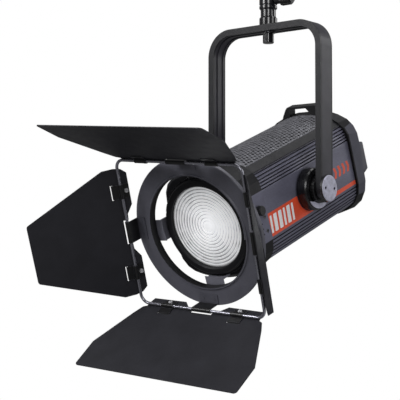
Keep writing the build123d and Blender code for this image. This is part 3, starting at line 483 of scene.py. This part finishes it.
class Welded:
    """Collects faces whose corners are shared wherever their flat coordinates agree."""

    def __init__(self):
        self.keys = {}
        self.flat = []
        self.faces = []

    def corner(self, u, v):
        key = (round(u * 1e6), round(v * 1e6))
        if key not in self.keys:
            self.keys[key] = len(self.flat)
            self.flat.append((u, v))
        return self.keys[key]

    def face(self, corners):
        self.faces.append([self.corner(u, v) for u, v in corners])

    def quad(self, u0, v0, u1, v1, forward):
        """A rectangle, turned round where its far side lies the other way."""
        corners = [(u0, v0), (u1, v0), (u1, v1), (u0, v1)]
        self.face(corners if forward else corners[::-1])


# ---------------------------------------------------------------- perforated covers

HOLE = 2.5 * MM                 # radius
PITCH_U = 6.4 * MM              # from row to row, across the head
PITCH_V = 7.4 * MM              # from hole to hole, along the head
QUARTERS = 4                    # knots in one pitch
PLAIN_SIDE = 3.0 * MM
PLAIN_END = 6.0 * MM
COVER_WALL = 1.5 * MM           # of the plain cover that the perforated one stands for
COVER_SHEET = 0.8 * MM


def cell(low, high, start, quarters):
    """Outline of a cell with a knot every quarter pitch, which its neighbours share."""
    middle = (low + high) / 2
    steps = [start + PITCH_V * k / QUARTERS for k in range(quarters + 1)]
    up = [(low, v) for v in steps] + [(middle, steps[-1])]
    down = [(high, v) for v in steps[::-1]] + [(middle, steps[0])]
    return up + down


def pierce(sheet, low, high, start):
    """One cell with a round hole in it."""
    middle = (low + high) / 2
    centre = start + PITCH_V / 2
    rim = cell(low, high, start, QUARTERS)
    inner = []
    for u, v in rim:
        angle = atan2((v - centre) / PITCH_V, (u - middle) / PITCH_U)
        inner.append((middle + HOLE * cos(angle), centre + HOLE * sin(angle)))
    for k in range(len(rim)):
        j = (k + 1) % len(rim)
        sheet.face([rim[k], rim[j], inner[j], inner[k]])


def perforated(width, length):
    """A flat sheet, u across and v along, with rows of holes laid like bricks and a plain border."""
    sheet = Welded()
    rows = 2 * int((width - 2 * PLAIN_SIDE) / PITCH_U / 2) + 1
    columns = int((length - 2 * PLAIN_END) / PITCH_V)
    u0 = -rows * PITCH_U / 2
    v0 = -columns * PITCH_V / 2
    v1 = v0 + columns * PITCH_V
    for row in range(rows):
        low = u0 + row * PITCH_U
        high = low + PITCH_U
        middle = (low + high) / 2
        odd = row % 2
        for column in range(columns - odd):
            pierce(sheet, low, high, v0 + odd * PITCH_V / 2 + column * PITCH_V)
        if odd:
            for start in (v0, v1 - PITCH_V / 2):
                sheet.face(cell(low, high, start, QUARTERS // 2))
        for near, far in ((v0, -length / 2), (v1, length / 2)):
            sheet.quad(low, near, middle, far, far > near)
            sheet.quad(middle, near, high, far, far > near)
    knots = [v0 + PITCH_V * k / QUARTERS for k in range(QUARTERS * columns + 1)]
    knots = [-length / 2] + knots + [length / 2]
    for edge, outer in ((u0, -width / 2), (u0 + rows * PITCH_U, width / 2)):
        for a, b in zip(knots, knots[1:]):
            strip = [(edge, a), (edge, b), (outer, b), (outer, a)]
            sheet.face(strip if outer > edge else strip[::-1])
    return sheet


def cover(name, node, upper):
    """The perforated cover that stands for a plain curved one."""
    low, high = head_box(node)
    half = high.x
    sign = 1 if upper else -1
    apex = high.z if upper else low.z
    side = low.z + COVER_WALL if upper else high.z - COVER_WALL
    rise = abs(apex - side)
    radius = (half * half + rise * rise) / (2 * rise)
    centre = apex - sign * radius
    reach = 2 * radius * atan2(half, radius - rise)
    sheet = perforated(reach, high.y - low.y)
    middle = (low.y + high.y) / 2
    verts = []
    for u, v in sheet.flat:
        angle = u / radius
        verts.append((radius * sin(angle), middle + v, centre + sign * radius * cos(angle)))
    faces = [f[::-1] for f in sheet.faces] if upper else sheet.faces
    ob = piece(name, verts, faces, finish["grille_paint"])
    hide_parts(node)
    solid = ob.modifiers.new("thickness", "SOLIDIFY")
    solid.thickness = COVER_SHEET
    solid.offset = -1.0


cover("top_cover_perforated", "top_grille", True)
cover("bottom_cover_perforated", "bottom_grille", False)

# ---------------------------------------------------------------- lens

LENS_RINGS = 11
LENS_EYE = 9.0 * MM             # radius of the domed middle
LENS_LIP = 2.8 * MM             # plain rim under the bezel
LENS_BASE = 3.0 * MM            # solid glass behind the rings
GROOVE = 0.2 * MM               # the grooves end this far above the base
TURN_STEPS = 128


def lathe(name, profile, material):
    """Turns an open (radius, y) profile that starts and ends on the optical axis."""
    verts, faces, loops = [], [], []
    for r, y in profile:
        if r == 0:
            loops.append([len(verts)] * TURN_STEPS)
            verts.append((0, y, 0))
            continue
        loops.append(list(range(len(verts), len(verts) + TURN_STEPS)))
        for k in range(TURN_STEPS):
            a = 2 * pi * k / TURN_STEPS
            verts.append((r * cos(a), y, r * sin(a)))
    for a, b in zip(loops, loops[1:]):
        for k in range(TURN_STEPS):
            j = (k + 1) % TURN_STEPS
            corners = [a[k], a[j], b[j], b[k]]
            faces.append([c for i, c in enumerate(corners) if c not in corners[:i]])
    return piece(name, verts, faces, material)


def lens_material(pitch):
    """Pressed glass: clear crests, grey risers between the rings as painted shade, and a painted glow,
    strongest in the core, that fades outwards.
    """
    t = Tree("pressed_glass")
    ripple = t.noise(70.0, 3.0)
    cloud = t.noise(26.0, 4.0)
    radius = t.distance(tilt_pos, head_y)
    step = t.math("FRACT", t.math("DIVIDE", t.math("SUBTRACT", radius, LENS_EYE), pitch))
    riser = t.remap(step, 0.50, 0.96, 0.0, 1.0)
    foot = t.remap(step, 0.0, 0.10, 1.0, 0.0)
    uneven = t.remap(ripple, 0.35, 0.62, 0.35, 1.0)
    # painted shade on the risers, stronger towards the rim
    painted_shade = t.math("MULTIPLY", t.math("MAXIMUM", riser, foot), uneven)
    painted_shade = t.math("MULTIPLY", painted_shade, t.remap(radius, 0.010, 0.055, 0.35, 1.0))
    glass = t.mix(t.vary(cloud, 0.0, 1.0), (0.86, 0.87, 0.89, 1), (0.97, 0.97, 0.98, 1))
    glass = t.mix(t.math("MULTIPLY", painted_shade, 0.9), glass, (0.055, 0.058, 0.066, 1))
    # painted shade deep in the grooves between the rings
    glass = t.mix(t.math("MULTIPLY", t.gap_shade_and_dirt(0.003), 0.6), glass, (0.05, 0.05, 0.06, 1))
    t.put(glass, t.shader.inputs["Base Color"])
    # painted glow: the glass emits its own colour, most near the axis
    t.put(glass, t.shader.inputs["Emission Color"])
    t.put(t.remap(radius, 0.005, 0.058, 0.55, 0.30), t.shader.inputs["Emission Strength"])
    t.put(t.vary(ripple, 0.06, 0.18), t.shader.inputs["Roughness"])
    t.shader.inputs["Transmission Weight"].default_value = 0.05
    t.shader.inputs["IOR"].default_value = 1.5
    t.shader.inputs["Coat Weight"].default_value = 0.8
    t.shader.inputs["Coat Roughness"].default_value = 0.05
    t.bump([(ripple, 0.0004)])
    return t.material


def fresnel():
    """The lens: a domed eye and rings, each a bulging facet that ends in a steep riser."""
    low, high = head_box("fresnel_lens")
    rim = high.x
    visible = rim - LENS_LIP
    back, base, front = high.y, high.y - LENS_BASE, low.y
    floor_y = base - GROOVE
    pitch = (visible - LENS_EYE) / LENS_RINGS
    facet = ((0.97, 1.0), (0.80, 0.62), (0.60, 0.33), (0.40, 0.13), (0.20, 0.02), (0.10, 0.0))
    dome = ((1.0, 0.10), (0.75, 0.45), (0.5, 0.68), (0.25, 0.80), (0.0, 0.84))
    profile = [(0, back), (rim, back), (rim, base), (visible, base)]
    for i in range(LENS_RINGS - 1, -1, -1):
        inner = LENS_EYE + i * pitch
        crest = front + (base - front) * 0.20 * (1 - i / LENS_RINGS)
        profile += [(inner + share * pitch, crest + fall * (floor_y - crest)) for share, fall in facet]
        if i:
            profile.append((inner, floor_y))
    profile += [(LENS_EYE * share, floor_y - (floor_y - front) * rise) for share, rise in dome]
    ob = lathe("lens_stepped", profile, lens_material(pitch))
    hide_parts("fresnel_lens")


fresnel()

# ---------------------------------------------------------------- printed graphics, raised a hair's breadth

SKIN = 0.12 * MM                # of one layer of print
BAND_LOW, BAND_HIGH = -35.6 * MM, 0.2 * MM
BAND_INSET = 1.0 * MM
DISH_GAP = 0.4 * MM
DISH_STEPS = 12

BAR_WIDTHS = (5.0, 8.6, 8.6, 5.0, 8.6, 5.0)     # mm
FIRST_BAR = 2.6                                 # mm from the panel's front
BAR_GAP = 4.6                                   # mm
BAR_INSET = 4.6 * MM
BAR_LEAN = 2.4 * MM

STRIPE = 6.6 * MM

MARKS = 4
FIRST_MARK, MARK_PITCH = 77.0 * MM, 13.0 * MM
MARK_LOW, MARK_HEIGHT = -9.5 * MM, 17.5 * MM
MARK_WIDTH, MARK_POINT = 6.0 * MM, 3.6 * MM


def thin_plates(name, outlines, depths, place, flipped, material):
    """Flat plates, each swept between two depths; place(depth, a, b) gives a corner's position."""
    verts, faces = [], []
    for outline in outlines:
        n = len(outline)
        start = len(verts)
        for depth in depths:
            verts += [place(depth, a, b) for a, b in outline]
        near = list(range(start, start + n))
        far = list(range(start + n, start + 2 * n))
        walls = [[near[k], near[(k + 1) % n], far[(k + 1) % n], far[k]] for k in range(n)]
        loops = [near[::-1], far] + walls
        faces += [loop[::-1] for loop in loops] if flipped else loops
    piece(name, verts, faces, material)


def on_sides(name, outlines, x, material):
    """The same plates on both sides of the head. Each outline is a list of (y, z)."""
    def right(depth, y, z):
        return (depth, y, z)

    def left(depth, y, z):
        return (-depth, y, z)

    thin_plates(name + "_right", outlines, (x, x + SKIN), right, False, material)
    thin_plates(name + "_left", outlines, (x, x + SKIN), left, True, material)


def on_rear(name, outlines, y, thickness, material):
    """Plates that face the rear. Each outline is a list of (x, z)."""
    def behind(depth, x, z):
        return (x, depth, z)

    thin_plates(name, outlines, (y, y + thickness), behind, True, material)


def rounded(y0, y1, z0, z1, r, lean=0.0):
    """Outline of a rectangle with rounded corners, its top pushed back by lean."""
    points = []
    corners = ((y1 - r, z0 + r, -90), (y1 - r, z1 - r, 0), (y0 + r, z1 - r, 90), (y0 + r, z0 + r, 180))
    for cy, cz, first in corners:
        for k in range(5):
            a = radians(first + 22.5 * k)
            y, z = cy + r * cos(a), cz + r * sin(a)
            points.append((y + lean * (z - z0) / (z1 - z0), z))
    return points


def band(front, dish):
    """The orange band, which ends against the round dish."""
    heights = [BAND_HIGH + (BAND_LOW - BAND_HIGH) * k / DISH_STEPS for k in range(DISH_STEPS + 1)]
    edge = [(-sqrt((dish + DISH_GAP) ** 2 - z * z), z) for z in heights if z > -dish]
    tail = [(4.0 * MM, -dish - 1.2 * MM), (15.0 * MM, BAND_LOW)]
    start = front + BAND_INSET
    return ([(start, BAND_LOW), (start, BAND_HIGH)] + edge + tail)[::-1]


def bars(front):
    """Leaning bars on the band, in the place of lettering."""
    outlines = []
    for i, width in enumerate(BAR_WIDTHS):
        start = front + (FIRST_BAR + sum(BAR_WIDTHS[:i]) + BAR_GAP * i) * MM
        low, high = BAND_LOW + BAR_INSET, BAND_HIGH - BAR_INSET
        outlines.append(rounded(start, start + width * MM, low, high, 1.2 * MM, BAR_LEAN))
    return outlines


def stripe(rear, dish):
    """The thin stripe behind the dish."""
    end = rear - 0.6 * MM
    top = BAND_LOW + STRIPE
    return [(dish + 3.0 * MM, BAND_LOW), (end, BAND_LOW), (end, top), (dish + 1.0 * MM, top)]


def chevrons():
    """A row of arrowheads that point to the rear, in the place of lettering."""
    outlines = []
    top, middle = MARK_LOW + MARK_HEIGHT, MARK_LOW + MARK_HEIGHT / 2
    for i in range(MARKS):
        y = FIRST_MARK + MARK_PITCH * i
        far = y + MARK_WIDTH
        outlines.append([(y, MARK_LOW), (far, MARK_LOW), (far + MARK_POINT, middle),
                         (far, top), (y, top), (y + MARK_POINT, middle)])
    return outlines


def side_graphics():
    panel_low, panel_high = head_box("side_panel_right")
    x = panel_high.x
    front, rear = panel_low.y, panel_high.y
    dish = head_box("hub_dishes")[1].z
    on_sides("side_band", [band(front, dish)], x, ORANGE)
    on_sides("side_bars", bars(front), x + SKIN, WHITE)
    on_sides("side_stripe", [stripe(rear, dish)], x, ORANGE)
    on_sides("side_marks", chevrons(), x, ORANGE)


side_graphics()

# ---------------------------------------------------------------- marks on the console

TICKS = 11
TICK_START, TICK_STEP = -45, 27                 # degrees
TICK_GAP, TICK_HALF = 1.6 * MM, 0.35 * MM
TICK_SHORT, TICK_LONG = 2.2 * MM, 3.4 * MM
SHOWN_BARS = (0.85, 0.6, 0.72)                  # shares of the full length
BAR_FULL, BAR_LEFT, BAR_HALF = 30 * MM, 4 * MM, 1.3 * MM
BAR_TOP, BAR_STEP = 4.2 * MM, 5.2 * MM


def dial_ticks():
    """Short lines round the dimmer knob, every fifth one longer."""
    face = head_box("control_box")[1].y
    low, high = head_box("dimmer_knob")
    centre = Vector(((low.x + high.x) / 2, (low.z + high.z) / 2))
    inner = (high.x - low.x) / 2 + TICK_GAP
    ticks = []
    for i in range(TICKS):
        a = radians(TICK_START + TICK_STEP * i)
        out, aside = Vector((cos(a), sin(a))), Vector((-sin(a), cos(a))) * TICK_HALF
        reach = inner + (TICK_SHORT if i % 5 else TICK_LONG)
        corners = [out * inner + aside, out * reach + aside, out * reach - aside, out * inner - aside]
        ticks.append([tuple(centre + c) for c in corners])
    on_rear("dial_ticks", ticks, face, 0.1 * MM, WHITE)


def display_bars():
    """Three level bars on the display, with no lettering."""
    low, high = head_box("display_window")
    outlines = []
    left = low.x + BAR_LEFT
    for i, share in enumerate(SHOWN_BARS):
        z = high.z - BAR_TOP - BAR_STEP * i
        outlines.append(rounded(left, left + share * BAR_FULL, z - BAR_HALF, z + BAR_HALF, 0.6 * MM))
    on_rear("display_bars", outlines, high.y, 0.08 * MM, finish["button_grey"])


dial_ticks()
display_bars()

# ---------------------------------------------------------------- camera


def look():
    """The camera, whose place is kept from the tilt axis."""
    camera = bpy.data.cameras.new("camera")
    camera.lens = 108.59
    camera.sensor_width = 36.0
    ob = bpy.data.objects.new("camera", camera)
    bpy.context.scene.collection.objects.link(ob)
    right = Vector((0.77478, 0.63223, 0.0))
    back = Vector((0.63157, -0.77397, -0.04572))
    up = back.cross(right)
    matrix = Matrix((right, up, back)).transposed().to_4x4()
    matrix.translation = tilt_pos + Vector((1.12397, -1.55093, -0.10242)) + right * 0.0006 + up * 0.0003
    ob.matrix_world = matrix
    bpy.context.scene.camera = ob


look()

# ---------------------------------------------------------------- light and floor

# name: place, (width, height) in metres, watts
SOFTBOXES = {
    "key_softbox": ((-0.9, -2.0, 0.9), (1.0, 1.0), 34),
    "front_fill": ((1.5, -1.9, 0.4), (0.7, 1.2), 16),
    "top_softbox": ((0.2, 0.3, 1.5), (1.2, 1.2), 12),
    "side_fill": ((2.2, 0.2, -0.1), (0.8, 1.4), 9),
    "rear_rim": ((0.9, 2.0, 0.5), (0.9, 0.9), 9),
}
STUDIO_GLOW = 0.20              # of the studio's walls on the lamp
FLOOR_DROP = 2.6                # from the lamp's lowest point
FLOOR_HALF = 14.0
PAPER_GLOW = 0.78


def softbox(name, place, size, watts):
    """An area light aimed at the tilt axis."""
    light = bpy.data.lights.new(name, "AREA")
    light.shape = "RECTANGLE"
    light.size, light.size_y = size
    light.energy = watts
    ob = bpy.data.objects.new(name, light)
    bpy.context.scene.collection.objects.link(ob)
    ob.location = place
    ob.rotation_euler = (tilt_pos - Vector(place)).to_track_quat("-Z", "Y").to_euler()


for name, (place, size, watts) in SOFTBOXES.items():
    softbox(name, place, size, watts)


def studio():
    """A white backdrop that lights the lamp only dimly."""
    world = bpy.data.worlds.new("studio")
    world.use_nodes = True
    tree = world.node_tree
    backdrop = tree.nodes["Background"]
    backdrop.inputs["Color"].default_value = (1, 1, 1, 1)
    backdrop.inputs["Strength"].default_value = 1.0
    dim = tree.nodes.new("ShaderNodeBackground")
    dim.inputs["Strength"].default_value = STUDIO_GLOW
    seen = tree.nodes.new("ShaderNodeLightPath")
    blend = tree.nodes.new("ShaderNodeMixShader")
    tree.links.new(seen.outputs["Is Camera Ray"], blend.inputs[0])
    tree.links.new(dim.outputs[0], blend.inputs[1])
    tree.links.new(backdrop.outputs[0], blend.inputs[2])
    tree.links.new(blend.outputs[0], tree.nodes["World Output"].inputs["Surface"])
    bpy.context.scene.world = world
    bpy.context.scene.view_settings.view_transform = "Standard"


studio()


def floor():
    """Pale paper far below the hanging lamp."""
    level = cad_low.z - FLOOR_DROP
    half = FLOOR_HALF
    verts = [(-half, -half, level), (half, -half, level), (half, half, level), (-half, half, level)]
    mesh = bpy.data.meshes.new("studio_floor")
    mesh.from_pydata(verts, [], [(0, 1, 2, 3)])
    ob = bpy.data.objects.new("studio_floor", mesh)
    bpy.context.scene.collection.objects.link(ob)
    t = Tree("floor_paper")
    grain = t.noise(8.0, 4.0)
    paper = t.mix(grain, (0.86, 0.86, 0.86, 1), (0.92, 0.92, 0.92, 1))
    t.put(paper, t.shader.inputs["Base Color"])
    t.shader.inputs["Roughness"].default_value = 0.9
    # the paper looks evenly pale, and lights the lamp no more than grey paper would
    t.shader.inputs["Emission Color"].default_value = (1, 1, 1, 1)
    seen = t.add("ShaderNodeLightPath").outputs["Is Camera Ray"]
    t.put(t.math("MULTIPLY", seen, PAPER_GLOW), t.shader.inputs["Emission Strength"])
    mesh.materials.append(t.material)
    ob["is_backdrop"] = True


floor()
